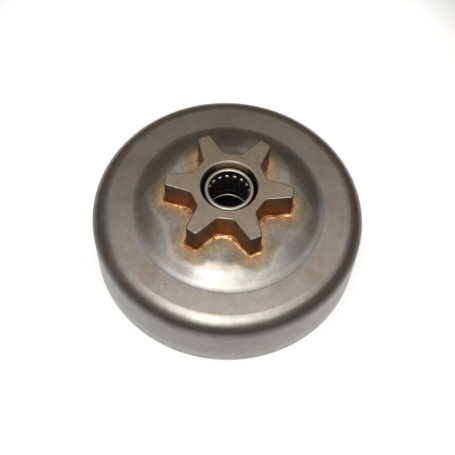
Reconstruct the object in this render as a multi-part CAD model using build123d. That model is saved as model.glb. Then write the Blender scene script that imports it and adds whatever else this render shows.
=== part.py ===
from build123d import *
import os
from math import cos, floor, pi, radians, sin, tan

# Clutch drum with its brazed chain sprocket and pressed-in needle bearing.
# Millimetres. The drum stands on its open rim at z = 0 and turns about Z, sprocket up.

# Driving sizes of the drum, pressed from one steel sheet
drum_outer_dia = 70.0
drum_height = 18.3  # rim up to the flat ring round the dome
sheet_thickness = 2.4
shoulder_bend = 2.0  # inside radius between the wall and the flat ring
rim_chamfer = 0.4
dome_rise = 1.75
dome_slope = 22.0  # degrees
dome_crown = 12.0  # outside radius of the bend at the top of the slope
dome_hollow = 4.5  # outside radius of the bend at the foot of the slope
plateau_margin = 0.4  # flat seat left outside the copper fillet

# Driving sizes of the sprocket
tooth_count = 6
chain_pitch = 9.525  # 3/8 inch, the mean distance from rivet to rivet
strap_drop = 2.33  # rivet circle down to the tooth tips
tip_width = 3.26
flank_taper = 11.15  # degrees between a flank and the tooth's centre line
tip_corner = 0.9  # radius on the corners of a tooth tip
root_fillet = 1.5
root_wall = 2.6  # metal between the bore and the floor of a tooth gap
face_width = 8.0  # height of the teeth above the dome
edge_round = 0.35  # radius round the upper outline of the teeth
mouth_chamfer = 0.35  # upper edge of the bore
hub_wall = 2.0  # spigot through the drum, outside the bore
hub_overhang = 0.1  # spigot past the bearing's lower end
hub_chamfer = 0.4
braze_gap = 0.05  # round the spigot, in the drum's hole
braze_leg = 0.6  # foot and height of the copper fillet round the teeth

# Driving sizes of the drawn-cup needle bearing
shaft_dia = 10.0
shaft_clearance = 0.01  # radial, shaft to rollers
roller_dia = 1.5
roller_end_chamfer = 0.15
race_clearance = 0.04  # radial, rollers to the cup
cup_wall = 0.45
cup_bend = 0.75  # inside radius between the cup's wall and its rolled lips
cup_length = 12.0
cup_recess = 1.4  # top of the cup below the sprocket's face
cup_seat_gap = 0.01  # radial, cup to bore
lip_clearance = 0.2  # radial, shaft to lips
cage_wall = 0.8
cage_bar = 0.38  # least bar between two pockets, on the rollers' pitch circle
cage_rim = 1.5  # ring left at each end of the pockets
cage_end_chamfer = 0.2  # outer edges of the two end rings
pocket_clearance = 0.06  # radial, round each roller
end_clearance = 0.2  # lip to cage, and pocket end to roller end

# Worked out: the bearing, from the shaft outwards
shaft_r = shaft_dia / 2
roller_r = roller_dia / 2
roller_circle_r = shaft_r + shaft_clearance + roller_r
race_r = roller_circle_r + roller_r + race_clearance
cup_r = race_r + cup_wall
lip_r = shaft_r + lip_clearance
pocket_r = roller_r + pocket_clearance
roller_count = floor(2 * pi * roller_circle_r / (2 * pocket_r + cage_bar))

# Worked out: the sprocket round the bearing
bore_r = cup_r + cup_seat_gap
hub_r = bore_r + hub_wall
root_r = bore_r + root_wall
rivet_circle_r = chain_pitch / (2 * sin(pi / (2 * tooth_count)))
tip_r = rivet_circle_r - strap_drop
tooth_step = 360 / tooth_count

# Worked out: the drum under the sprocket
drum_r = drum_outer_dia / 2
hub_hole_r = hub_r + braze_gap
dome_top_reach = dome_crown * tan(radians(dome_slope) / 2)
dome_top_r = tip_r + braze_leg + plateau_margin + dome_top_reach
dome_foot_r = dome_top_r + dome_rise / tan(radians(dome_slope))

# Worked out: heights above the rim
plateau_z = drum_height + dome_rise
face_z = plateau_z + face_width
cup_top_z = face_z - cup_recess
cup_bottom_z = cup_top_z - cup_length
hub_end_z = cup_bottom_z - hub_overhang
cage_bottom_z = cup_bottom_z + cup_wall + end_clearance
cage_length = cup_length - 2 * (cup_wall + end_clearance)
pocket_bottom_z = cage_bottom_z + cage_rim
pocket_length = cage_length - 2 * cage_rim
roller_bottom_z = pocket_bottom_z + end_clearance
roller_length = pocket_length - 2 * end_clearance

base_up = (Align.CENTER, Align.CENTER, Align.MIN)


def post(radius, bottom_z, height):
    return Pos(0, 0, bottom_z) * Cylinder(radius, height, align=base_up)


def turned_sheet(skin, skin_radii, thickness):
    """Sheet of even thickness turned about Z, its outer skin running through the points with rounded bends."""
    outer = FilletPolyline(*skin, radius=skin_radii)
    section = make_face(offset(outer, amount=thickness, side=Side.LEFT, closed=True))
    return revolve(Plane.XZ * section, axis=Axis.Z)


def clutch_drum():
    skin = [
        (drum_r, 0),
        (drum_r, drum_height),
        (dome_foot_r, drum_height),
        (dome_top_r, plateau_z),
        (hub_hole_r, plateau_z),
    ]
    skin_radii = [shoulder_bend + sheet_thickness, dome_hollow, dome_crown]
    drum = turned_sheet(skin, skin_radii, sheet_thickness)
    rim = drum.faces().sort_by(Axis.Z)[0]
    return chamfer(rim.edges(), rim_chamfer)


def tooth_corners(angle):
    """Root, tip, tip and root corner of one tooth, counter-clockwise round the outline."""
    half_step = radians(tooth_step / 2)
    taper = tan(radians(flank_taper))
    half_tip = tip_width / 2
    # A flank runs at half_tip + (tip_r - x) * taper from the centre line, and ends on the gap's flat floor.
    root_x = (root_r - (half_tip + tip_r * taper) * sin(half_step)) / (cos(half_step) - taper * sin(half_step))
    half_root = half_tip + (tip_r - root_x) * taper
    corners = [(root_x, -half_root), (tip_r, -half_tip), (tip_r, half_tip), (root_x, half_root)]
    return [Vector(x, y).rotate(Axis.Z, angle) for x, y in corners]


def sprocket_outline():
    corners = [corner for tooth in range(tooth_count) for corner in tooth_corners(tooth * tooth_step)]
    outline = make_face(Polyline(*corners, close=True))
    tips = outline.vertices().group_by(SortBy.DISTANCE)[-1]
    outline = fillet(tips, tip_corner)
    roots = outline.vertices().group_by(SortBy.DISTANCE)[0]
    return fillet(roots, root_fillet)


def spur_sprocket():
    teeth = Pos(0, 0, plateau_z) * extrude(sprocket_outline(), face_width)
    teeth = fillet(teeth.faces().sort_by(Axis.Z)[-1].edges(), edge_round)
    hub = post(hub_r, hub_end_z, plateau_z - hub_end_z)
    hub = chamfer(hub.edges().sort_by(Axis.Z)[0], hub_chamfer)
    sprocket = teeth + hub - post(bore_r, hub_end_z, face_z - hub_end_z)
    mouth = sprocket.faces().sort_by(Axis.Z)[-1].inner_wires()[0]
    return chamfer(mouth.edges(), mouth_chamfer)


def braze_fillet():
    """Copper that ran out of the joint and set as a small slope round the foot of the teeth."""
    outline = sprocket_outline()
    slope = extrude(offset(outline, amount=braze_leg), braze_leg, taper=45)
    return Pos(0, 0, plateau_z) * (slope - extrude(outline, braze_leg))


def bearing_cup():
    skin = [
        (lip_r, cup_bottom_z),
        (cup_r, cup_bottom_z),
        (cup_r, cup_top_z),
        (lip_r, cup_top_z),
    ]
    return turned_sheet(skin, [cup_bend + cup_wall] * 2, cup_wall)


def roller_places():
    return PolarLocations(roller_circle_r, roller_count)


def bearing_cage():
    outer = post(roller_circle_r + cage_wall / 2, cage_bottom_z, cage_length)
    outer = chamfer(outer.edges().filter_by(GeomType.CIRCLE), cage_end_chamfer)
    inner = post(roller_circle_r - cage_wall / 2, cage_bottom_z, cage_length)
    pocket = post(pocket_r, pocket_bottom_z, pocket_length)
    return outer - inner - [place * pocket for place in roller_places()]


def needle_roller():
    roller = post(roller_r, roller_bottom_z, roller_length)
    return chamfer(roller.edges().filter_by(GeomType.CIRCLE), roller_end_chamfer)


def main():
    pieces = {
        "clutch_drum": clutch_drum(),
        "spur_sprocket": spur_sprocket(),
        "braze_fillet": braze_fillet(),
        "bearing_cup": bearing_cup(),
        "bearing_cage": bearing_cage(),
    }
    roller = needle_roller()
    for number, place in enumerate(roller_places(), start=1):
        pieces[f"needle_roller_{number:02d}"] = place * roller
    os.makedirs("parts", exist_ok=True)
    for node, solid in pieces.items():
        export_step(solid, f"parts/{node}.step")


main()
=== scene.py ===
import math

import bpy
from mathutils import Matrix, Vector, noise


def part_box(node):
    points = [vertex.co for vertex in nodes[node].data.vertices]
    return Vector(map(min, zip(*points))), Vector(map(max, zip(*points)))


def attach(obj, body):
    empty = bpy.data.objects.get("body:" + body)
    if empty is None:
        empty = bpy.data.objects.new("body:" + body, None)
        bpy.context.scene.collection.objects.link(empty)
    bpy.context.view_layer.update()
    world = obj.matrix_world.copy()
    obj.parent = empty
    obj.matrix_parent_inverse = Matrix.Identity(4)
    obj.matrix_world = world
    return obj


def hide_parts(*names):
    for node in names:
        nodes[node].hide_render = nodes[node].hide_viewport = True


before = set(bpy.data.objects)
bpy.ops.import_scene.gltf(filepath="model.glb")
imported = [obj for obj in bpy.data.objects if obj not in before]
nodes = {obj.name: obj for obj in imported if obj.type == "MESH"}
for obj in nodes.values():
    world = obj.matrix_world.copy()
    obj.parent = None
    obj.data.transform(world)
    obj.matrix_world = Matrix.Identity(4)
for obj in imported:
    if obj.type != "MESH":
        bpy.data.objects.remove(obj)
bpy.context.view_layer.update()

mm = 0.001
print("stage: frame loaded,", len(nodes), "nodes")


# node tree helpers

def plug(tree, socket, value):
    if isinstance(value, bpy.types.NodeSocket):
        tree.links.new(value, socket)
    else:
        socket.default_value = value


def addNode(tree, kind, inputs=None, **settings):
    node = tree.nodes.new(kind)
    for name, value in settings.items():
        setattr(node, name, value)
    for name, value in (inputs or {}).items():
        plug(tree, node.inputs[name], value)
    return node


def calc(tree, operation, *values, clamp=False):
    node = addNode(tree, "ShaderNodeMath", operation=operation, use_clamp=clamp)
    for socket, value in zip(node.inputs, values):
        plug(tree, socket, value)
    return node.outputs[0]


def product(tree, *values):
    result = values[0]
    for value in values[1:]:
        result = calc(tree, "MULTIPLY", result, value)
    return result


def total(tree, *values):
    result = values[0]
    for value in values[1:]:
        result = calc(tree, "ADD", result, value)
    return result


def ramp(tree, amount, stops):
    node = addNode(tree, "ShaderNodeValToRGB", {"Fac": amount})
    colours = node.color_ramp
    colours.interpolation = "EASE"
    for place, _ in stops[2:]:
        colours.elements.new(place)
    for element, (place, colour) in zip(colours.elements, stops):
        element.position = place
        element.color = (*colour, 1.0)
    return node.outputs["Color"]


def fade(tree, value, low, high, atLow=0.0, atHigh=1.0):
    node = addNode(tree, "ShaderNodeMapRange", {"Value": value}, interpolation_type="SMOOTHSTEP")
    limits = {"From Min": low, "From Max": high, "To Min": atLow, "To Max": atHigh}
    for name, number in limits.items():
        plug(tree, node.inputs[name], number)
    return node.outputs[0]


def band(tree, value, start, full, ending, end):
    # one between full and ending, nought before start and past end
    return product(tree, fade(tree, value, start, full), fade(tree, value, ending, end, 1.0, 0.0))


def blendColours(tree, amount, first, second, mode="MIX"):
    node = addNode(tree, "ShaderNodeMix", data_type="RGBA", blend_type=mode)
    plug(tree, node.inputs[0], amount)
    for socket, colour in ((node.inputs[6], first), (node.inputs[7], second)):
        plug(tree, socket, colour if isinstance(colour, bpy.types.NodeSocket) else (*colour, 1.0))
    return node.outputs[2]


def shadeBy(tree, colour, cast, amount=1.0):
    return blendColours(tree, amount, colour, cast, "MULTIPLY")


def grain(tree, vector, scale, detail=3.0, roughness=0.55):
    values = {"Vector": vector, "Scale": scale, "Detail": detail, "Roughness": roughness}
    return addNode(tree, "ShaderNodeTexNoise", values).outputs["Fac"]


def wander(tree, vector, scale, reach):
    # a smooth noise that swings evenly about nought, to about plus and minus reach
    middle = calc(tree, "SUBTRACT", grain(tree, vector, scale), 0.5)
    return calc(tree, "MULTIPLY", middle, 3.0 * reach)


def combine(tree, x, y, z):
    return addNode(tree, "ShaderNodeCombineXYZ", {"X": x, "Y": y, "Z": z}).outputs[0]


def grey(tree, level):
    return combine(tree, level, level, level)


def greyRange(tree, clouds, low, high):
    # grey tones from a noise that keeps mostly between 0.3 and 0.7
    return grey(tree, fade(tree, clouds, 0.3, 0.7, low, high))


def bump(tree, height, depth, under=None):
    node = addNode(tree, "ShaderNodeBump", {"Height": height, "Distance": depth * mm})
    if under is not None:
        plug(tree, node.inputs["Normal"], under)
    return node.outputs[0]


def startMaterial(name, metallic=1.0):
    material = bpy.data.materials.new(name)
    material.use_nodes = True
    tree = material.node_tree
    shader = tree.nodes["Principled BSDF"]
    shader.inputs["Metallic"].default_value = metallic
    return material, tree, shader


def partPlaces(tree):
    # place on the part in millimetres, straight and round the axis
    source = addNode(tree, "ShaderNodeTexCoord").outputs["Object"]
    place = addNode(tree, "ShaderNodeVectorMath", {0: source, "Scale": 1 / mm}, operation="SCALE").outputs[0]
    x, y, z = addNode(tree, "ShaderNodeSeparateXYZ", {0: place}).outputs
    radius = calc(tree, "SQRT", total(tree, product(tree, x, x), product(tree, y, y)))
    angle = calc(tree, "ARCTAN2", y, x)
    east = calc(tree, "COSINE", angle)
    north = calc(tree, "SINE", angle)
    return {
        "place": place, "x": x, "y": y, "z": z,
        "radius": radius, "angle": angle, "east": east, "north": north,
    }


def turnedMarks(tree, spot, across, along, texture):
    # fine marks round the axis: east and north close the circle, the rows run fast across
    rows = product(tree, total(tree, spot["radius"], spot["z"]), across)
    circle = [product(tree, spot[side], along) for side in ("east", "north")]
    return grain(tree, combine(tree, *circle, rows), *texture)


def giveMaterial(piece, material):
    piece.data.materials.clear()
    piece.data.materials.append(material)


# the sprocket's outline, shared by the heat tints and the copper bead

sprocketShape = {
    "teeth": 6,
    "tipRadius": 16.07,
    "tipHalf": 1.63,
    "taperDegrees": 11.15,
    "rootRadius": 9.61,  # axis to the flat floor of a gap
    "tipCorner": 0.9,
    "rootFillet": 1.5,
    "footZ": 20.05,
    "faceZ": 28.05,
    "boreRadius": 7.01,
}


def outlineDistance(tree, spot):
    # millimetres outside the star outline, below nought inside it
    shape = sprocketShape
    step = 2 * math.pi / shape["teeth"]
    taper = math.radians(shape["taperDegrees"])
    turn = calc(tree, "ROUND", calc(tree, "DIVIDE", spot["angle"], step))
    local = calc(tree, "SUBTRACT", spot["angle"], product(tree, turn, step))
    along = product(tree, spot["radius"], calc(tree, "COSINE", local))
    aside = calc(tree, "ABSOLUTE", product(tree, spot["radius"], calc(tree, "SINE", local)))
    back = calc(tree, "SUBTRACT", shape["tipRadius"], along)
    half = total(tree, product(tree, back, math.tan(taper)), shape["tipHalf"])
    flank = product(tree, calc(tree, "SUBTRACT", aside, half), math.cos(taper))
    tip = calc(tree, "SUBTRACT", along, shape["tipRadius"])
    tooth = calc(tree, "SMOOTH_MAX", flank, tip, shape["tipCorner"])
    inwards = product(tree, along, math.cos(step / 2))
    sideways = product(tree, aside, math.sin(step / 2))
    gapFloor = calc(tree, "SUBTRACT", total(tree, inwards, sideways), shape["rootRadius"])
    return calc(tree, "SMOOTH_MIN", tooth, gapFloor, shape["rootFillet"])


def awayFrom(tree, spot, x, y):
    # millimetres from a place at the foot of the teeth
    centre = (x, y, sprocketShape["footZ"])
    node = addNode(tree, "ShaderNodeVectorMath", {0: spot["place"], 1: centre}, operation="DISTANCE")
    return node.outputs["Value"]


def starCorners():
    # corner places of the sharp star, with the radius that rounds each one
    shape = sprocketShape
    step = 2 * math.pi / shape["teeth"]
    slope = math.tan(math.radians(shape["taperDegrees"]))
    axisHalf = shape["tipHalf"] + shape["tipRadius"] * slope
    narrowing = math.cos(step / 2) - slope * math.sin(step / 2)
    rootAlong = (shape["rootRadius"] - axisHalf * math.sin(step / 2)) / narrowing
    rootHalf = axisHalf - rootAlong * slope
    corners = []
    for tooth in range(shape["teeth"]):
        turn = Matrix.Rotation(tooth * step, 2)
        corners.append((turn @ Vector((rootAlong, -rootHalf)), shape["rootFillet"]))
        corners.append((turn @ Vector((shape["tipRadius"], -shape["tipHalf"])), shape["tipCorner"]))
        corners.append((turn @ Vector((shape["tipRadius"], shape["tipHalf"])), shape["tipCorner"]))
        corners.append((turn @ Vector((rootAlong, rootHalf)), shape["rootFillet"]))
    return corners


def starOutline(step):
    # points round the star with its corners rounded, about one step apart
    corners = starCorners()
    points = []
    for index, (corner, radius) in enumerate(corners):
        before = (corners[index - 1][0] - corner).normalized()
        after = (corners[(index + 1) % len(corners)][0] - corner).normalized()
        half = before.angle(after) / 2
        centre = corner + (before + after).normalized() * radius / math.sin(half)
        start = corner + before * radius / math.tan(half) - centre
        end = corner + after * radius / math.tan(half) - centre
        if points:
            points += straightRun(points[-1], centre + start, step)
        pieces = max(3, round(radius * start.angle(end) / step))
        points += [centre + start.slerp(end, share / pieces) for share in range(pieces + 1)]
    return points + straightRun(points[-1], points[0], step)


def straightRun(start, end, step):
    pieces = max(2, round((end - start).length / step))
    return [start.lerp(end, share / pieces) for share in range(1, pieces)]


# drum: satin pressed steel, with heat tints that spread from the teeth
# a grain is scale per millimetre, detail and roughness of a noise

drumFinish = {
    "steel": (0.350, 0.320, 0.286),
    "steelWorn": (0.318, 0.286, 0.250),
    "cloudGrain": (0.14, 4.0, 0.6),
    "cloudFade": (0.40, 0.66),
    "mottleGrain": (0.45, 3.0, 0.6),
    "mottleTones": (0.93, 1.07),
    "stain": (0.93, 0.90, 0.86),  # brown cast where the sheet is stained
    "stainGrain": (0.075, 3.0, 0.6),
    "stainFade": (0.52, 0.68),
    "roughness": 0.34,
    "roughnessSpread": 0.05,
    # cleaner and smoother where the press stretched the sheet, by radius
    "clean": (1.0, 1.085, 1.19),
    "cleanRing": (19.0, 20.5, 25.0, 25.8),
    "cleanShoulder": (30.2, 31.7),
    "ringRoughness": 0.31,
    # friction face inside, scoured by the clutch shoes
    "inside": (0.40, 0.385, 0.365),
    "insideRadii": (32.75, 32.85),
    "insideTop": (14.8, 15.4),
    # painted shade on the outside wall, by height above the rim
    "wallTones": [
        (0.0, 1.0),
        (2.5, 1.0),
        (6.0, 0.75),
        (12.0, 0.70),
        (14.5, 0.56),
        (15.9, 0.40),
        (17.6, 0.84),
        (18.1, 1.0),
    ],
    "wallWarmth": (1.0, 0.985, 0.96),
    "wallRadii": (32.9, 33.1),
    "bendRadii": (31.4, 32.0),  # the painted shade runs in over the shoulder
    "bendHeights": (16.4, 16.6),
    "wallSides": (0.93, 0.895, 0.85),  # painted shade, darker and browner to left and right
    "sideFade": (0.70, 1.0),
    # tints by share of the reach, from the foot of the teeth outwards
    "tintReach": 6.5,
    "tints": [
        (0.00, (0.80, 0.52, 0.29)),
        (0.12, (0.62, 0.435, 0.245)),
        (0.22, (0.46, 0.345, 0.212)),
        (0.34, (0.360, 0.283, 0.192)),
        (0.50, (0.315, 0.267, 0.203)),
        (0.70, (0.325, 0.296, 0.25)),
        (1.00, (0.350, 0.338, 0.318)),
    ],
    "tintWander": [(0.75, 0.45), (0.20, 0.8), (1.7, 0.35)],  # scale and reach of each swing
    "tintGrain": (0.8, 4.0, 0.65),
    "tintTones": (0.87, 1.13),
    "tintRoughness": 0.48,
    "gapRadii": (12.0, 17.5),  # the tints are brightest deep in the gaps
    "gapGains": (1.14, 0.84),
    "webHeights": (18.1, 18.4),  # tints lie only on the dome
    # the halo round the tints follows the teeth, wanders, and falls short behind
    "haloRadius": 19.3,
    "haloLobes": 1.9,
    "haloShort": 3.6,
    "haloBehind": (0.84, 0.98),
    "haloWander": [(0.22, 1.0), (0.7, 0.6)],
    "haloFade": (-0.8, 0.4),
    # pale rim of the halo, clearest low on the left: limits, then strength at each
    "pale": (0.47, 0.455, 0.435),
    "rimBand": (-1.5, -0.4, -0.2, 0.6),
    "rimEast": (-0.9, 0.3, 0.38, 0.24),
    "rimNorth": (0.0, 0.45, 1.0, 0.25),
    "scorch": (0.64, 0.63, 0.62),  # painted shade: darker steel behind the sprocket
    "scorchRadii": (17.0, 21.0),
    # soft stains and rubbed places near the teeth, partly painted light and shade: x, y, radius, gain
    "patches": [
        (5.0, 17.0, 5.0, 1.8),
        (-14.0, 10.0, 5.0, 1.25),
        (13.0, 10.0, 4.0, 1.25),
        (23.0, -1.0, 5.0, 1.3),
        (-21.0, -3.0, 6.0, 1.2),
        (-2.0, -16.0, 4.0, 1.3),
        (7.0, -18.5, 3.0, 0.75),
        (17.0, -10.0, 5.0, 0.75),
        (-9.0, -19.0, 4.0, 0.85),
    ],
    "patchCore": 0.25,  # share of the radius at full strength
    "patchWander": (0.5, 0.8),
    # painted shade along the foot of the slope in front
    "footDirt": (0.74, 0.73, 0.71),
    "footRadii": (23.5, 24.5, 24.5, 25.5),
    "footTurn": -65.0,  # degrees, towards the darkest place
    "footFacing": (-0.25, 0.45),
    # fine grain all over, and a few dark specks
    "speckleGrain": (2.4, 3.0, 0.7),
    "speckleTones": (0.94, 1.06),
    "speckleDepth": 0.003,
    "speck": (0.12, 0.10, 0.085),
    "speckGrain": (0.85, 1.0, 0.4),
    "speckFade": (0.775, 0.80, 0.0, 0.8),
    "markSteps": (5.0, 2.0),  # press marks, across and along
    "markGrain": (1.0, 4.0, 0.65),
    "markDepth": 0.003,
}


def paintedWallShade(tree, spot):
    # painted shade: the drawn wall is darker below the shoulder and lighter towards the rim
    finish = drumFinish
    top = finish["wallTones"][-1][0]
    stops = []
    for height, tone in finish["wallTones"]:
        stops.append((height / top, tuple(tone * part for part in finish["wallWarmth"])))
    tone = ramp(tree, calc(tree, "DIVIDE", spot["z"], top, clamp=True), stops)
    # painted shade on the wall to left and right
    sideways = fade(tree, calc(tree, "ABSOLUTE", spot["east"]), *finish["sideFade"])
    tone = shadeBy(tree, tone, finish["wallSides"], sideways)
    outside = fade(tree, spot["radius"], *finish["wallRadii"])
    bend = fade(tree, spot["z"], *finish["bendHeights"])
    bend = product(tree, bend, fade(tree, spot["radius"], *finish["bendRadii"]))
    return blendColours(tree, calc(tree, "MAXIMUM", outside, bend), (1.0, 1.0, 1.0), tone)


def bareSteel(tree, spot, ring):
    finish = drumFinish
    cloud = fade(tree, grain(tree, spot["place"], *finish["cloudGrain"]), *finish["cloudFade"])
    colour = blendColours(tree, cloud, finish["steel"], finish["steelWorn"])
    mottle = grain(tree, spot["place"], *finish["mottleGrain"])
    colour = shadeBy(tree, colour, greyRange(tree, mottle, *finish["mottleTones"]))
    stained = fade(tree, grain(tree, spot["place"], *finish["stainGrain"]), *finish["stainFade"])
    colour = shadeBy(tree, colour, finish["stain"], stained)
    shoulder = fade(tree, spot["radius"], *finish["cleanShoulder"])
    colour = shadeBy(tree, colour, finish["clean"], calc(tree, "MAXIMUM", ring, shoulder))
    inner = fade(tree, spot["radius"], *finish["insideRadii"], 1.0, 0.0)
    below = fade(tree, spot["z"], *finish["insideTop"], 1.0, 0.0)
    colour = blendColours(tree, product(tree, inner, below), colour, finish["inside"])
    return shadeBy(tree, colour, paintedWallShade(tree, spot))


def tintBands(tree, spot):
    # bands of tint by distance from the teeth, wider in some places than in others
    finish = drumFinish
    away = outlineDistance(tree, spot)
    for scale, reach in finish["tintWander"]:
        away = total(tree, away, wander(tree, spot["place"], scale, reach))
    bands = ramp(tree, calc(tree, "DIVIDE", away, finish["tintReach"], clamp=True), finish["tints"])
    mottle = grain(tree, spot["place"], *finish["tintGrain"])
    bands = shadeBy(tree, bands, greyRange(tree, mottle, *finish["tintTones"]))
    gapGain = fade(tree, spot["radius"], *finish["gapRadii"], *finish["gapGains"])
    return shadeBy(tree, bands, grey(tree, gapGain))


def haloEdge(tree, spot):
    # millimetres beyond the halo's edge, and how far it falls short there
    finish = drumFinish
    lobes = calc(tree, "COSINE", product(tree, spot["angle"], float(sprocketShape["teeth"])))
    reach = total(tree, product(tree, lobes, finish["haloLobes"]), finish["haloRadius"])
    behind = fade(tree, spot["north"], *finish["haloBehind"], 0.0, finish["haloShort"])
    beyond = total(tree, calc(tree, "SUBTRACT", spot["radius"], reach), behind)
    for scale, swing in finish["haloWander"]:
        beyond = total(tree, beyond, wander(tree, spot["place"], scale, swing))
    return beyond, behind


def stainAndShadeGain(tree, spot):
    finish = drumFinish
    gains = 1.0
    for x, y, radius, gain in finish["patches"]:
        away = awayFrom(tree, spot, x, y)
        away = total(tree, away, wander(tree, spot["place"], *finish["patchWander"]))
        gains = product(tree, gains, fade(tree, away, finish["patchCore"] * radius, radius, gain, 1.0))
    return grey(tree, gains)


def makeDrumSteel():
    finish = drumFinish
    material, tree, shader = startMaterial("drumSteel")
    spot = partPlaces(tree)
    speckle = grain(tree, spot["place"], *finish["speckleGrain"])
    ring = band(tree, spot["radius"], *finish["cleanRing"])
    upper = fade(tree, spot["z"], *finish["webHeights"])
    colour = bareSteel(tree, spot, ring)
    beyond, behind = haloEdge(tree, spot)
    tinted = product(tree, fade(tree, beyond, *finish["haloFade"], 1.0, 0.0), upper)
    colour = blendColours(tree, tinted, colour, tintBands(tree, spot))
    rim = band(tree, beyond, *finish["rimBand"])
    rim = product(tree, rim, fade(tree, spot["east"], *finish["rimEast"]))
    rim = product(tree, rim, fade(tree, spot["north"], *finish["rimNorth"]), upper)
    colour = blendColours(tree, rim, colour, finish["pale"])
    # painted shade on the dome behind the sprocket
    shadedBehind = product(tree, fade(tree, behind, 0.0, finish["haloShort"]), upper)
    shadedBehind = product(tree, shadedBehind, fade(tree, spot["radius"], *finish["scorchRadii"], 1.0, 0.0))
    colour = shadeBy(tree, colour, finish["scorch"], shadedBehind)
    # stains, with painted light and shade, by place
    colour = shadeBy(tree, colour, stainAndShadeGain(tree, spot))
    # painted shade at the foot of the slope in front
    facing = calc(tree, "COSINE", calc(tree, "SUBTRACT", spot["angle"], math.radians(finish["footTurn"])))
    footShading = band(tree, spot["radius"], *finish["footRadii"])
    footShading = product(tree, footShading, fade(tree, facing, *finish["footFacing"]))
    colour = shadeBy(tree, colour, finish["footDirt"], footShading)
    colour = shadeBy(tree, colour, greyRange(tree, speckle, *finish["speckleTones"]))
    specks = fade(tree, grain(tree, spot["place"], *finish["speckGrain"]), *finish["speckFade"])
    colour = blendColours(tree, specks, colour, finish["speck"])
    plug(tree, shader.inputs["Base Color"], colour)
    spread = product(tree, calc(tree, "SUBTRACT", speckle, 0.5), finish["roughnessSpread"])
    rougher = product(tree, tinted, finish["tintRoughness"] - finish["roughness"])
    rough = fade(tree, ring, 0.0, 1.0, finish["roughness"], finish["ringRoughness"])
    plug(tree, shader.inputs["Roughness"], total(tree, spread, rougher, rough))
    marks = turnedMarks(tree, spot, *finish["markSteps"], finish["markGrain"])
    marked = bump(tree, marks, finish["markDepth"])
    plug(tree, shader.inputs["Normal"], bump(tree, speckle, finish["speckleDepth"], marked))
    return material


# sprocket: matte milled face, flanks browned by the braze

sprocketFinish = {
    "face": (0.346, 0.286, 0.234),
    "faceDark": (0.305, 0.25, 0.205),
    "blotchGrain": (0.30, 4.0, 0.6),
    "blotchFade": (0.38, 0.70),
    "faceBack": (0.88, 0.87, 0.82),  # cast on the half towards the back
    "faceBackSpan": (2.0, 9.0),
    "faceDrop": (0.10, 0.04),  # below the top, where the face begins
    # milling scratches: steps along x and y, then limits with strengths
    "scratchSteps": (0.25, 3.5),
    "scratchGrain": (1.0, 3.0, 0.6),
    "scratchBright": (0.60, 0.72, 0.0, 0.45),
    "scratchDark": (0.28, 0.42, 0.40, 0.0),
    "fineGrain": (4.0, 3.0, 0.6),
    "fineTones": (0.90, 1.10),
    "fineDepth": 0.006,
    "pit": (0.12, 0.095, 0.075),
    "pitGrain": (1.3, 3.0, 0.6),
    "pitFade": (0.62, 0.72),
    "pitStrength": 0.6,
    "pitDepth": -0.02,
    # flank colours by share of the height, at the tooth tips and in the gaps
    "tipFlank": [
        (0.0, (0.25, 0.075, 0.020)),
        (0.2, (0.165, 0.056, 0.021)),
        (0.45, (0.138, 0.057, 0.030)),
        (0.8, (0.118, 0.064, 0.043)),
        (1.0, (0.14, 0.088, 0.063)),
    ],
    "gapFlank": [
        (0.0, (0.38, 0.112, 0.021)),
        (0.2, (0.27, 0.078, 0.018)),
        (0.45, (0.18, 0.060, 0.020)),
        (0.8, (0.145, 0.062, 0.028)),
        (1.0, (0.18, 0.100, 0.057)),
    ],
    "flankRadii": (10.5, 15.6),  # gap to tip
    "flankWander": (0.28, 0.10),
    "spigot": (0.30, 0.255, 0.215),  # under the drum, clear of the braze
    "spigotTop": (16.8, 17.6),
    # bright edge of the face, partly wear and partly a painted glint, most in front
    "edge": (0.52, 0.465, 0.41),
    "edgeBand": (-0.32, -0.14),
    "edgeWander": (0.9, 0.12),
    "edgeHeights": (27.80, 27.90),
    "edgeWear": (-11.0, -5.0, 0.55, 0.20),
    # chamfer of the bore, bright steel with a painted highlight, brightest at the back
    "mouth": (0.72, 0.65, 0.57),
    "mouthReach": (0.40, 0.48),  # past the bore's radius
    "mouthHeights": (27.78, 27.88),
    "mouthWear": (-2.0, 6.5, 0.15, 1.0),
    # wall of the bore: dark with oil and painted shade next to the cup, lighter high on the far side with
    # painted light
    "boreWall": (0.48, 0.36, 0.24),
    "boreGrime": (0.06, 0.045, 0.03),
    "boreReach": (0.10, 0.25),
    "boreHeights": (27.78, 27.86),
    "boreClear": (25.0, 26.2),
    "boreFarSide": (0.70, 0.97),
    "boreMetallic": 0.55,  # a brown film over the steel
    "faceRoughness": 0.50,
    "flankRoughness": 0.40,
    "edgeRoughness": 0.42,
    "boreRoughness": 0.55,
}


def milledFace(tree, spot, fine, pits):
    finish = sprocketFinish
    blotch = fade(tree, grain(tree, spot["place"], *finish["blotchGrain"]), *finish["blotchFade"])
    face = blendColours(tree, blotch, finish["face"], finish["faceDark"])
    face = shadeBy(tree, face, finish["faceBack"], fade(tree, spot["y"], *finish["faceBackSpan"]))
    across = [product(tree, spot[axis], step) for axis, step in zip("xy", finish["scratchSteps"])]
    scratches = grain(tree, combine(tree, *across, spot["z"]), *finish["scratchGrain"])
    face = blendColours(tree, fade(tree, scratches, *finish["scratchBright"]), face, finish["edge"])
    face = blendColours(tree, fade(tree, scratches, *finish["scratchDark"]), face, finish["pit"])
    face = shadeBy(tree, face, greyRange(tree, fine, *finish["fineTones"]))
    return blendColours(tree, product(tree, pits, finish["pitStrength"]), face, finish["pit"])


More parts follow.
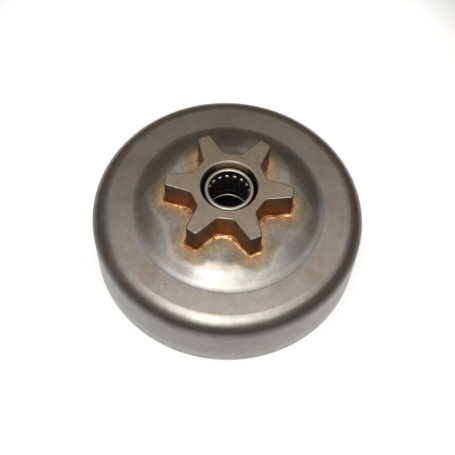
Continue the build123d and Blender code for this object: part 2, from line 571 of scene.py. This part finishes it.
def brownedFlank(tree, spot):
    # from browned steel at the top to copper red at the foot
    finish, shape = sprocketFinish, sprocketShape
    height = calc(tree, "SUBTRACT", spot["z"], shape["footZ"])
    height = calc(tree, "DIVIDE", height, shape["faceZ"] - shape["footZ"])
    swing = wander(tree, spot["place"], *finish["flankWander"])
    height = calc(tree, "ADD", height, swing, clamp=True)
    inGap, atTip = (ramp(tree, height, finish[name]) for name in ("gapFlank", "tipFlank"))
    flank = blendColours(tree, fade(tree, spot["radius"], *finish["flankRadii"]), inGap, atTip)
    under = fade(tree, spot["z"], *finish["spigotTop"], 1.0, 0.0)
    return blendColours(tree, under, flank, finish["spigot"])


def makeSprocketSteel():
    finish, shape = sprocketFinish, sprocketShape
    material, tree, shader = startMaterial("sprocketSteel")
    spot = partPlaces(tree)
    fine = grain(tree, spot["place"], *finish["fineGrain"])
    pits = fade(tree, grain(tree, spot["place"], *finish["pitGrain"]), *finish["pitFade"])
    faceStart, faceFull = (shape["faceZ"] - drop for drop in finish["faceDrop"])
    onFace = fade(tree, spot["z"], faceStart, faceFull)
    colour = blendColours(tree, onFace, brownedFlank(tree, spot), milledFace(tree, spot, fine, pits))
    swing = wander(tree, spot["place"], *finish["edgeWander"])
    edge = fade(tree, total(tree, outlineDistance(tree, spot), swing), *finish["edgeBand"])
    edge = product(tree, edge, fade(tree, spot["z"], *finish["edgeHeights"]))
    # painted glint on the edge, strongest in front
    brightSteelAndGlint = product(tree, edge, fade(tree, spot["y"], *finish["edgeWear"]))
    colour = blendColours(tree, brightSteelAndGlint, colour, finish["edge"])
    pastBore = calc(tree, "SUBTRACT", spot["radius"], shape["boreRadius"])
    mouth = fade(tree, pastBore, *finish["mouthReach"], 1.0, 0.0)
    mouth = product(tree, mouth, fade(tree, spot["z"], *finish["mouthHeights"]))
    # painted highlight on the bore's chamfer, strongest at the back
    brightSteelAndGlint = product(tree, mouth, fade(tree, spot["y"], *finish["mouthWear"]))
    colour = blendColours(tree, brightSteelAndGlint, colour, finish["mouth"])
    deep = fade(tree, pastBore, *finish["boreReach"], 1.0, 0.0)
    deep = product(tree, deep, fade(tree, spot["z"], *finish["boreHeights"], 1.0, 0.0))
    # painted light high on the far side of the bore, oil and painted shade below
    farSide = fade(tree, spot["north"], *finish["boreFarSide"])
    clear = product(tree, fade(tree, spot["z"], *finish["boreClear"]), farSide)
    wall = blendColours(tree, clear, finish["boreGrime"], finish["boreWall"])
    plug(tree, shader.inputs["Base Color"], blendColours(tree, deep, colour, wall))
    bright = calc(tree, "MAXIMUM", edge, mouth)
    rough = fade(tree, onFace, 0.0, 1.0, finish["flankRoughness"], finish["faceRoughness"])
    rough = fade(tree, bright, 0.0, 1.0, rough, finish["edgeRoughness"])
    rough = fade(tree, deep, 0.0, 1.0, rough, finish["boreRoughness"])
    plug(tree, shader.inputs["Roughness"], rough)
    plug(tree, shader.inputs["Metallic"], fade(tree, deep, 0.0, 1.0, 1.0, finish["boreMetallic"]))
    dents = bump(tree, pits, finish["pitDepth"])
    plug(tree, shader.inputs["Normal"], bump(tree, fine, finish["fineDepth"], dents))
    return material


# bearing: bright drawn cup with rolled lips, a cage dark with oil, rollers with bright ends and painted shade
# along their bodies

bearingFinish = {
    "cup": (0.60, 0.56, 0.505),
    "cupRoughness": 0.34,
    "cupSides": (0.76, 0.75, 0.73),  # painted shade, duller to left and right
    "sideFade": (0.25, 0.9),
    "grime": (0.06, 0.048, 0.035),
    "grimeRadii": (5.85, 6.20),  # oily ring where the cup meets the bore, with painted shade in the gap
    "cage": (0.23, 0.21, 0.17),
    "cageRoughness": 0.42,
    "roller": (0.66, 0.64, 0.60),
    "rollerBody": (0.22, 0.205, 0.175),  # painted shade on the rolling length
    "rollerEnd": 1.2,
    "rollerRoughness": 0.42,
    # smears on all of them
    "smearGrain": (0.25, 2.0, 0.5),
    "smearFade": (0.45, 0.75),
    "smearTone": 0.75,
    "smearRough": (-0.03, 0.05),
    "smearRoughFade": (0.3, 0.7),
    "polishGrain": (0.35, 2.0, 0.5),
    "polishDepth": 0.01,
}


def makeBearingSteel(name, colour, roughness, grimeAndShade=False, oiled=None):
    finish = bearingFinish
    material, tree, shader = startMaterial(name)
    spot = partPlaces(tree)
    smear = grain(tree, spot["place"], *finish["smearGrain"])
    darker = tuple(finish["smearTone"] * value for value in colour)
    tone = blendColours(tree, fade(tree, smear, *finish["smearFade"]), colour, darker)
    if grimeAndShade:
        # painted shade on the cup to left and right
        sides = fade(tree, calc(tree, "ABSOLUTE", spot["east"]), *finish["sideFade"])
        tone = shadeBy(tree, tone, finish["cupSides"], sides)
        # oily ring with painted shade where the cup meets the bore
        ring = fade(tree, spot["radius"], *finish["grimeRadii"])
        tone = blendColours(tree, ring, tone, finish["grime"])
    if oiled:
        low, high = oiled
        # painted shade on each roller's body, leaving its ends bright
        end, half = finish["rollerEnd"], 0.5 * finish["rollerEnd"]
        body = band(tree, spot["z"], low + half, low + end, high - end, high - half)
        tone = blendColours(tree, body, tone, finish["rollerBody"])
    plug(tree, shader.inputs["Base Color"], tone)
    least, most = (roughness + change for change in finish["smearRough"])
    plug(tree, shader.inputs["Roughness"], fade(tree, smear, *finish["smearRoughFade"], least, most))
    polish = grain(tree, spot["place"], *finish["polishGrain"])
    plug(tree, shader.inputs["Normal"], bump(tree, polish, finish["polishDepth"]))
    return material


def arc(centre, radius, start, end, steps):
    turns = [math.radians(start + (end - start) * step / steps) for step in range(steps + 1)]
    return [(centre[0] + radius * math.cos(turn), centre[1] + radius * math.sin(turn)) for turn in turns]


def addPiece(name, points, faces, smooth):
    mesh = bpy.data.meshes.new(name)
    mesh.from_pydata(points, [], faces)
    mesh.polygons.foreach_set("use_smooth", smooth)
    mesh.update()
    piece = bpy.data.objects.new(name, mesh)
    bpy.context.scene.collection.objects.link(piece)
    return piece


def turnedPiece(name, profile, segments, axis, closed):
    # profile points are radius and height, turned about an upright axis, and an open one gets flat ends
    points, faces = [], []
    for segment in range(segments):
        turn = 2 * math.pi * segment / segments
        for radius, height in profile:
            flat = (axis[0] + radius * math.cos(turn), axis[1] + radius * math.sin(turn))
            points.append(Vector((*flat, height)) * mm)
    count = len(profile)
    for segment in range(segments):
        here, there = segment * count, (segment + 1) % segments * count
        for index in range(count if closed else count - 1):
            following = (index + 1) % count
            faces.append((here + index, there + index, there + following, here + following))
    if not closed:
        faces.append([segment * count for segment in reversed(range(segments))])
        faces.append([segment * count + count - 1 for segment in range(segments)])
    return addPiece(name, points, faces, [len(face) == 4 for face in faces])


cupShape = {"wall": 0.45, "bend": 1.2, "lipRadius": 5.2, "segments": 112, "bendSteps": 9, "lipSteps": 8}


def makeCup():
    shape = cupShape
    low, high = ([value / mm for value in corner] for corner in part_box("bearing_cup"))
    outer, wall, bend, half = high[0], shape["wall"], shape["bend"], shape["wall"] / 2
    bendRadius, inside = outer - bend, bend - wall
    lip = shape["lipRadius"] + half  # the lip ends in a full round
    profile = arc((bendRadius, low[2] + bend), bend, -90, 0, shape["bendSteps"])
    profile += arc((bendRadius, high[2] - bend), bend, 0, 90, shape["bendSteps"])
    profile += arc((lip, high[2] - half), half, 90, 270, shape["lipSteps"])
    profile += arc((bendRadius, high[2] - bend), inside, 90, 0, shape["bendSteps"])
    profile += arc((bendRadius, low[2] + bend), inside, 0, -90, shape["bendSteps"])
    profile += arc((lip, low[2] + half), half, 90, 270, shape["lipSteps"])
    cup = turnedPiece("rolledCup", profile, shape["segments"], (0.0, 0.0), True)
    giveMaterial(cup, makeBearingSteel("cupSteel", bearingFinish["cup"], bearingFinish["cupRoughness"], True))
    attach(cup, "drum")
    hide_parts("bearing_cup")


rollerShape = {"endRound": 0.58, "segments": 28, "endSteps": 6}


def makeRollers():
    shape, finish = rollerShape, bearingFinish
    names = sorted(node for node in nodes if node.startswith("needle_roller"))
    span = [corner[2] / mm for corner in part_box(names[0])]
    material = makeBearingSteel("rollerSteel", finish["roller"], finish["rollerRoughness"], oiled=span)
    for name in names:
        low, high = ([value / mm for value in corner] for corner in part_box(name))
        axis = ((low[0] + high[0]) / 2, (low[1] + high[1]) / 2)
        radius, rounding = (high[0] - low[0]) / 2, shape["endRound"]
        profile = arc((radius - rounding, low[2] + rounding), rounding, -90, 0, shape["endSteps"])
        profile += arc((radius - rounding, high[2] - rounding), rounding, 0, 90, shape["endSteps"])
        pieceName = name.replace("needle_roller", "polishedRoller")
        roller = turnedPiece(pieceName, profile, shape["segments"], axis, False)
        giveMaterial(roller, material)
        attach(roller, name.replace("needle_", ""))
        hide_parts(name)


# copper: a concave bead that ran round the foot of the teeth

brazeFinish = {
    "copper": (0.86, 0.59, 0.34),
    "dull": (0.40, 0.20, 0.09),
    "dullGrain": (0.55, 3.0, 0.6),
    "dullFade": (0.38, 0.62),
    "dullPlaces": [(-8.0, -14.5, 3.4), (-15.5, -2.0, 3.0), (9.0, -10.5, 3.0)],  # x, y, radius
    "dullCore": 0.5,  # share of the radius at full strength
    "roughness": (0.46, 0.61),
    "roughFade": (0.35, 0.7),
    "fineGrain": (5.0, 3.0, 0.6),
    "fineDepth": 0.003,
}


def makeCopperBraze():
    finish = brazeFinish
    material, tree, shader = startMaterial("copperBraze")
    spot = partPlaces(tree)
    patch = grain(tree, spot["place"], *finish["dullGrain"])
    dull = fade(tree, patch, *finish["dullFade"])
    for x, y, radius in finish["dullPlaces"]:
        near = fade(tree, awayFrom(tree, spot, x, y), finish["dullCore"] * radius, radius, 1.0, 0.0)
        dull = calc(tree, "MAXIMUM", dull, near)
    plug(tree, shader.inputs["Base Color"], blendColours(tree, dull, finish["copper"], finish["dull"]))
    plug(tree, shader.inputs["Roughness"], fade(tree, patch, *finish["roughFade"], *finish["roughness"]))
    fine = grain(tree, spot["place"], *finish["fineGrain"])
    plug(tree, shader.inputs["Normal"], bump(tree, fine, finish["fineDepth"]))
    return material


beadShape = {
    "width": 0.60,
    "height": 0.40,
    "wander": 0.20,  # share by which width and height come and go
    "swings": [(0.45, 1.0, 0.0), (1.1, 0.25, 7.0)],  # scale, share and height of each noise
    "pool": 0.30,  # extra width where copper gathered in the gaps
    "poolRadius": 12.0,
    "poolSpan": 2.4,
    "sink": 0.05,  # how far the bead is bedded in drum and sprocket
    "step": 0.22,
    "arcSteps": 7,
}


def beadSection(place):
    # points away from the tooth and up, at one place on the outline
    shape = beadShape
    swing = 0.0
    for scale, share, row in shape["swings"]:
        swing += share * noise.noise(Vector((place.x, place.y, row)) * scale)
    size = 1.0 + shape["wander"] * swing
    pool = min(1.0, max(0.0, (shape["poolRadius"] - place.length) / shape["poolSpan"]))
    width = shape["width"] * size + shape["pool"] * pool
    height = shape["height"] * size
    section = []
    for part in range(shape["arcSteps"] + 1):
        turn = 0.5 * math.pi * part / shape["arcSteps"]
        section.append((width * (1 - math.cos(turn)), height * (1 - math.sin(turn))))
    sink = shape["sink"]
    return section + [(width, -sink), (-sink, -sink), (-sink, height)]


def makeCopperBead(material):
    shape = beadShape
    outline = starOutline(shape["step"])
    points = []
    for index, place in enumerate(outline):
        heading = (outline[(index + 1) % len(outline)] - outline[index - 1]).normalized()
        outward = Vector((heading.y, -heading.x))
        section = beadSection(place)
        for away, up in section:
            flat = place + outward * away
            points.append(Vector((flat.x, flat.y, sprocketShape["footZ"] + up)) * mm)
    count = len(section)
    faces = []
    for ring in range(len(outline)):
        here, there = ring * count, (ring + 1) % len(outline) * count
        for spoke in range(count):
            following = (spoke + 1) % count
            faces.append((here + spoke, here + following, there + following, there + spoke))
    smooth = [index % count < shape["arcSteps"] for index in range(len(faces))]
    bead = addPiece("copperBead", points, faces, smooth)
    giveMaterial(bead, material)
    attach(bead, "drum")
    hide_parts("braze_fillet")


copperBraze = makeCopperBraze()
cageSteel = makeBearingSteel("cageSteel", bearingFinish["cage"], bearingFinish["cageRoughness"])
giveMaterial(nodes["clutch_drum"], makeDrumSteel())
giveMaterial(nodes["spur_sprocket"], makeSprocketSteel())
giveMaterial(nodes["bearing_cage"], cageSteel)
print("stage: materials on the CAD pieces")
makeCopperBead(copperBraze)
makeCup()
makeRollers()
print("stage: copper bead, bearing cup and rollers")


# floor, light and camera

floorLook = {
    "width": 3.0,
    "colour": (0.40, 0.40, 0.40),
    "shaded": (0.06, 0.06, 0.06),  # under the drum
    "roughness": 0.9,
    "glow": 0.70,  # brings the floor in view to white
    "poolCentre": (-7.0, 14.0),
    "poolHalf": (70.0, 82.0),
    "poolPower": 4.0,  # a rounded rectangle
    "poolFade": 0.45,  # share of the half size over which the glow ends
    "shadeRadii": (33.0, 35.0),  # no glow under the drum
}


def makeFloor():
    look = floorLook
    half = look["width"] / 2
    mesh = bpy.data.meshes.new("floorPlane")
    corners = [(-half, -half, 0), (half, -half, 0), (half, half, 0), (-half, half, 0)]
    mesh.from_pydata(corners, [], [(0, 1, 2, 3)])
    floor = bpy.data.objects.new("floorPlane", mesh)
    bpy.context.scene.collection.objects.link(floor)
    material, tree, shader = startMaterial("paleFloor", 0.0)
    shader.inputs["Roughness"].default_value = look["roughness"]
    shader.inputs["Emission Color"].default_value = (1.0, 1.0, 1.0, 1.0)
    spot = partPlaces(tree)
    rays = addNode(tree, "ShaderNodeLightPath").outputs
    seen = calc(tree, "ADD", rays["Is Glossy Ray"], rays["Is Transmission Ray"])
    seen = calc(tree, "ADD", seen, rays["Is Camera Ray"], clamp=True)
    rounded = []
    for axis, centre, size in zip("xy", look["poolCentre"], look["poolHalf"]):
        offset = calc(tree, "ABSOLUTE", calc(tree, "SUBTRACT", spot[axis], centre))
        rounded.append(calc(tree, "POWER", calc(tree, "DIVIDE", offset, size), look["poolPower"]))
    outwards = calc(tree, "POWER", total(tree, *rounded), 1 / look["poolPower"])
    pool = fade(tree, outwards, 1.0, 1.0 + look["poolFade"], look["glow"], 0.0)
    shade = fade(tree, spot["radius"], *look["shadeRadii"])
    plug(tree, shader.inputs["Base Color"], blendColours(tree, shade, look["shaded"], look["colour"]))
    plug(tree, shader.inputs["Emission Strength"], product(tree, pool, shade, seen))
    giveMaterial(floor, material)


# angles in degrees: sideways and front or back lean from straight up, half spans, turn in its own plane
lightPlan = {
    "distance": 0.80,
    "boxes": {
        "stripBox": {
            "lean": (-3.2, -13.5), "half": (10.4, 33.5), "turn": -1.5, "shine": 3.55,
            "tint": (1.0, 1.0, 1.0),
        },
        "wideBox": {
            "lean": (-5.0, -15.6), "half": (34.0, 19.0), "turn": -9.7, "shine": 0.82,
            "tint": (1.05, 1.0, 0.90),
        },
        "backBox": {
            "lean": (14.0, 23.0), "half": (9.0, 9.0), "turn": 0.0, "shine": 0.78,
            "tint": (1.04, 1.0, 0.92),
        },
        "rightBox": {
            "lean": (23.6, -6.6), "half": (14.0, 25.8), "turn": -26.2, "shine": 0.62,
            "tint": (1.02, 1.0, 0.94),
        },
    },
    "roomLevel": (0.031, 0.027, 0.022),
    "roomFront": (0.156, 0.145, 0.138),
    "roomLeft": (0.145, 0.112, 0.076),
    "roomRight": (0.092, 0.075, 0.058),
}


def makeBox(name, plan, distance):
    lamp = bpy.data.lights.new(name, "AREA")
    lamp.shape = "RECTANGLE"
    lamp.size, lamp.size_y = (2 * distance * math.tan(math.radians(angle)) for angle in plan["half"])
    lamp.energy = plan["shine"] * math.pi * lamp.size * lamp.size_y
    lamp.color = plan["tint"]
    box = bpy.data.objects.new(name, lamp)
    aside, forward = (math.tan(math.radians(angle)) for angle in plan["lean"])
    back = Vector((aside, forward, 1.0)).normalized()
    right = Vector((0.0, 1.0, 0.0)).cross(back).normalized()
    facing = Matrix((right, back.cross(right), back)).transposed().to_4x4()
    spin = Matrix.Rotation(math.radians(plan["turn"]), 4, "Z")
    box.matrix_world = Matrix.Translation(back * distance) @ facing @ spin
    bpy.context.scene.collection.objects.link(box)


def makeRoom():
    plan = lightPlan
    world = bpy.data.worlds.new("room")
    world.use_nodes = True
    tree = world.node_tree
    background = tree.nodes["Background"]
    towards = addNode(tree, "ShaderNodeTexCoord").outputs["Generated"]
    x, y, _ = addNode(tree, "ShaderNodeSeparateXYZ", {0: towards}).outputs
    front = blendColours(tree, fade(tree, y, -1.0, 1.0), plan["roomFront"], (0.0, 0.0, 0.0))
    sides = blendColours(tree, fade(tree, x, -1.0, 1.0), plan["roomLeft"], plan["roomRight"])
    glow = blendColours(tree, 1.0, front, sides, "ADD")
    plug(tree, background.inputs["Color"], blendColours(tree, 1.0, glow, plan["roomLevel"], "ADD"))
    bpy.context.scene.world = world


cameraPlan = {
    "azimuth": 2.86,
    "elevation": 60.47,
    "roll": 3.31,
    "distance": 240.0,
    "aim": (0.150, -3.975, 14.0),  # before the turn by the azimuth
    "focalPixels": 929.4,
    "imagePixels": 455,
    "sensorWidth": 36.0,
    "clip": (0.01, 20.0),
}


def makeCamera():
    plan = cameraPlan
    elevation, roll = math.radians(plan["elevation"]), math.radians(plan["roll"])
    turn = Matrix.Rotation(math.radians(plan["azimuth"]), 3, "Z")
    back = turn @ Vector((0, -math.cos(elevation), math.sin(elevation)))
    right = turn @ Vector((1, 0, 0))
    up = back.cross(right)
    tiltedRight = right * math.cos(roll) + up * math.sin(roll)
    tiltedUp = up * math.cos(roll) - right * math.sin(roll)
    lens = bpy.data.cameras.new("photoCamera")
    lens.sensor_width = plan["sensorWidth"]
    lens.lens = plan["focalPixels"] / plan["imagePixels"] * lens.sensor_width
    lens.clip_start, lens.clip_end = plan["clip"]
    camera = bpy.data.objects.new("photoCamera", lens)
    place = (turn @ Vector(plan["aim"]) + back * plan["distance"]) * mm
    rotation = Matrix((tiltedRight, tiltedUp, back)).transposed().to_4x4()
    camera.matrix_world = Matrix.Translation(place) @ rotation
    bpy.context.scene.collection.objects.link(camera)
    bpy.context.scene.camera = camera


makeFloor()
for boxName, boxPlan in lightPlan["boxes"].items():
    makeBox(boxName, boxPlan, lightPlan["distance"])
makeRoom()
makeCamera()
bpy.context.scene.view_settings.view_transform = "Standard"
print("stage: floor, light and camera")
